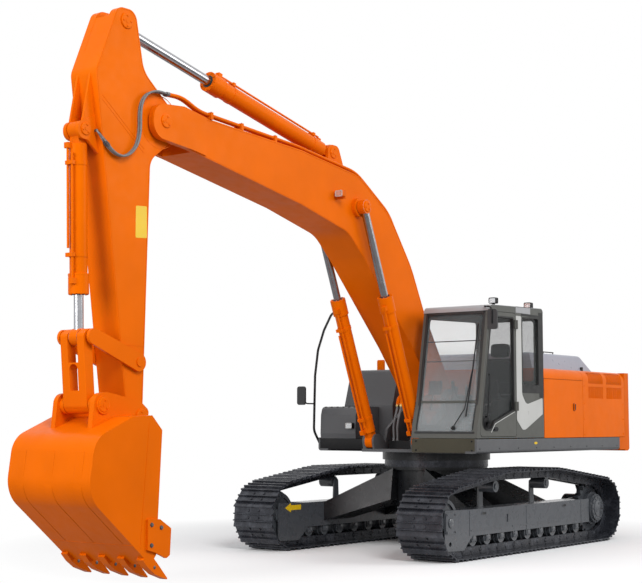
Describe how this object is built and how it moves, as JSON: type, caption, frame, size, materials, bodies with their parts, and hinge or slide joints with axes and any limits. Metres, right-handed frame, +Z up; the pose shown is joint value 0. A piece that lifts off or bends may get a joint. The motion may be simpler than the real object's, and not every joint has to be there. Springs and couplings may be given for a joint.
{
  "type": "crawler excavator",
  "caption": "Tracked excavator with a slewing house, cab, bent boom, arm and toothed bucket, moved by hydraulic cylinders.",
  "frame": {"origin": "on the ground, under the middle of the machine's bounding box as it is stored", "axes": "+X in the digging direction, +Y towards the cab's side, +Z up"},
  "size_m": [10.5358, 3.24, 6.0564],
  "materials": {
    "orange_paint": "gloss",
    "light_grey_paint": "satin",
    "dark_grey_paint": "satin",
    "counterweight_iron": "painted, gloss",
    "track_steel": "worn, dusty",
    "black_steel": "satin",
    "rod_chrome": "polished",
    "window_glass": "clear",
    "lamp_lens": "clear",
    "seat_plastic": "matte",
    "hose_rubber": "matte",
    "engine": "painted, matte",
    "mirror_case": "matte"
  },
  "bodies": {
    "undercarriage": {"car_body": "dark_grey_paint", "swing_bearing_ring": "track_steel", "track_frame_left": "dark_grey_paint", "track_frame_right": "dark_grey_paint", "track_left": "track_steel", "track_right": "track_steel", "track_rollers_left": "dark_grey_paint", "track_rollers_right": "dark_grey_paint", "idlers": "dark_grey_paint", "travel_drives": "dark_grey_paint"},
    "upperstructure": {"swing_turntable": "track_steel", "main_frame": "dark_grey_paint", "side_skirts": "dark_grey_paint", "counterweight": "counterweight_iron", "engine_block": "engine", "rear_panel_left": "orange_paint", "rear_panel_right": "orange_paint", "house_roof": "orange_paint", "fuel_tank": "orange_paint", "oil_tank": "orange_paint", "tool_box": "dark_grey_paint", "cab_shell": "dark_grey_paint", "cab_glass": "window_glass", "cab_seat": "seat_plastic", "handrails": "black_steel", "mirrors": "mirror_case", "mirror_brackets": "black_steel", "lamps": "lamp_lens", "swing_drive": "dark_grey_paint", "hose_block": "orange_paint", "boom_foot_hoses": "hose_rubber"},
    "cab_door": {"cab_door": "dark_grey_paint", "cab_door_glass": "window_glass"},
    "side_door_left": {"side_door_left": "orange_paint"},
    "side_door_right": {"side_door_right": "orange_paint"},
    "engine_hood": {"engine_hood": "light_grey_paint"},
    "tool_box_lid": {"tool_box_lid": "dark_grey_paint"},
    "boom": {"boom": "orange_paint", "boom_lamp": "lamp_lens", "boom_pipes": "black_steel", "arm_hoses": "hose_rubber"},
    "boom_cylinder_barrels": {"boom_cylinder_barrel_left": "orange_paint", "boom_cylinder_barrel_right": "orange_paint"},
    "boom_cylinder_rods": {"boom_cylinder_rod_left": "rod_chrome", "boom_cylinder_rod_right": "rod_chrome"},
    "arm": {"arm": "orange_paint"},
    "arm_cylinder_barrel": {"arm_cylinder_barrel": "orange_paint"},
    "arm_cylinder_rod": {"arm_cylinder_rod": "rod_chrome"},
    "bucket": {"bucket": "orange_paint", "bucket_teeth": "orange_paint", "side_cutters": "orange_paint"},
    "rocker_links": {"rocker_links": "orange_paint"},
    "h_link": {"h_link": "orange_paint"},
    "bucket_cylinder_barrel": {"bucket_cylinder_barrel": "orange_paint"},
    "bucket_cylinder_rod": {"bucket_cylinder_rod": "rod_chrome"}
  },
  "joints": [
    {"name": "swing", "type": "hinge", "parent": "undercarriage", "child": "upperstructure", "pos_m": [-1.90866, 0, 1.175], "axis": [0, 0, 1], "continuous": true},
    {"name": "cab_door_hinge", "type": "hinge", "parent": "upperstructure", "child": "cab_door", "pos_m": [-1.55066, 1.5, 2.44], "axis": [0, 0, -1], "range_deg": [-165, 0]},
    {"name": "side_door_left_hinge", "type": "hinge", "parent": "upperstructure", "child": "side_door_left", "pos_m": [-2.33966, 1.474, 1.88], "axis": [0, 0, -1], "range_deg": [0, 80]},
    {"name": "side_door_right_hinge", "type": "hinge", "parent": "upperstructure", "child": "side_door_right", "pos_m": [-3.04866, -1.474, 1.88], "axis": [0, 0, 1], "range_deg": [0, 80]},
    {"name": "engine_hood_hinge", "type": "hinge", "parent": "upperstructure", "child": "engine_hood", "pos_m": [-2.85866, 0, 2.438], "axis": [0, 1, 0], "range_deg": [0, 50]},
    {"name": "tool_box_lid_hinge", "type": "hinge", "parent": "upperstructure", "child": "tool_box_lid", "pos_m": [-1.68966, -1.135, 1.905], "axis": [0, -1, 0], "range_deg": [0, 85]},
    {"name": "boom_lift", "type": "hinge", "parent": "upperstructure", "child": "boom", "pos_m": [-1.75866, 0, 1.98], "axis": [0, -1, 0], "range_deg": [-71, 33], "deforming": ["boom_foot_hoses"]},
    {"name": "boom_cylinder_swing", "type": "hinge", "parent": "upperstructure", "child": "boom_cylinder_barrels", "pos_m": [-0.86866, 0, 1.43], "axis": [0, -1, 0], "range_deg": [-76.27, 36.06]},
    {"name": "boom_cylinder_stroke", "type": "slide", "parent": "boom_cylinder_barrels", "child": "boom_cylinder_rods", "axis": [0.3831, 0, 0.9237], "range_m": [-1.1067, 0.5171]},
    {"name": "arm_swing", "type": "hinge", "parent": "boom", "child": "arm", "pos_m": [3.94439, 0, 4.91726], "axis": [0, 1, 0], "range_deg": [-74.5, 36], "deforming": ["arm_hoses"]},
    {"name": "arm_cylinder_swing", "type": "hinge", "parent": "boom", "child": "arm_cylinder_barrel", "pos_m": [0.67134, 0, 5.105], "axis": [0, 1, 0], "range_deg": [-9.15, 5.01]},
    {"name": "arm_cylinder_stroke", "type": "slide", "parent": "arm_cylinder_barrel", "child": "arm_cylinder_rod", "axis": [0.9776, 0, 0.2103], "range_m": [-1.2055, 0.5851]},
    {"name": "bucket_curl", "type": "hinge", "parent": "arm", "child": "bucket", "pos_m": [4.27888, 0, 1.73479], "axis": [0, 1, 0], "range_deg": [-20, 135]},
    {"name": "rocker_swing", "type": "hinge", "parent": "arm", "child": "rocker_links", "pos_m": [4.24088, 0, 2.30479], "axis": [0, 1, 0], "range_deg": [-14.63, 92.14]},
    {"name": "h_link_swing", "type": "hinge", "parent": "bucket", "child": "h_link", "pos_m": [4.82588, 0, 1.85379], "axis": [0, 1, 0], "range_deg": [-93.49, 14.83]},
    {"name": "bucket_cylinder_swing", "type": "hinge", "parent": "arm", "child": "bucket_cylinder_barrel", "pos_m": [4.95039, 0, 4.68426], "axis": [0, 1, 0], "range_deg": [-1.72, 5.01]},
    {"name": "bucket_cylinder_stroke", "type": "slide", "parent": "bucket_cylinder_barrel", "child": "bucket_cylinder_rod", "axis": [-0.0288, 0, -0.9996], "range_m": [-0.1543, 1.0128]}
  ],
  "couplings": [
    {"joint": "boom_cylinder_swing", "follows": "boom_lift", "ratio": 1.0581},
    {"joint": "boom_cylinder_stroke", "follows": "boom_lift", "m_per_rad": 0.88905},
    {"joint": "arm_cylinder_swing", "follows": "arm_swing", "ratio": 0.10741},
    {"joint": "arm_cylinder_stroke", "follows": "arm_swing", "m_per_rad": 0.92328},
    {"joint": "rocker_swing", "follows": "bucket_curl", "ratio": 0.674},
    {"joint": "h_link_swing", "follows": "bucket_curl", "ratio": -0.684},
    {"joint": "bucket_cylinder_swing", "follows": "bucket_curl", "ratio": 0.028633},
    {"joint": "bucket_cylinder_stroke", "follows": "bucket_curl", "m_per_rad": 0.42774}
  ]
}
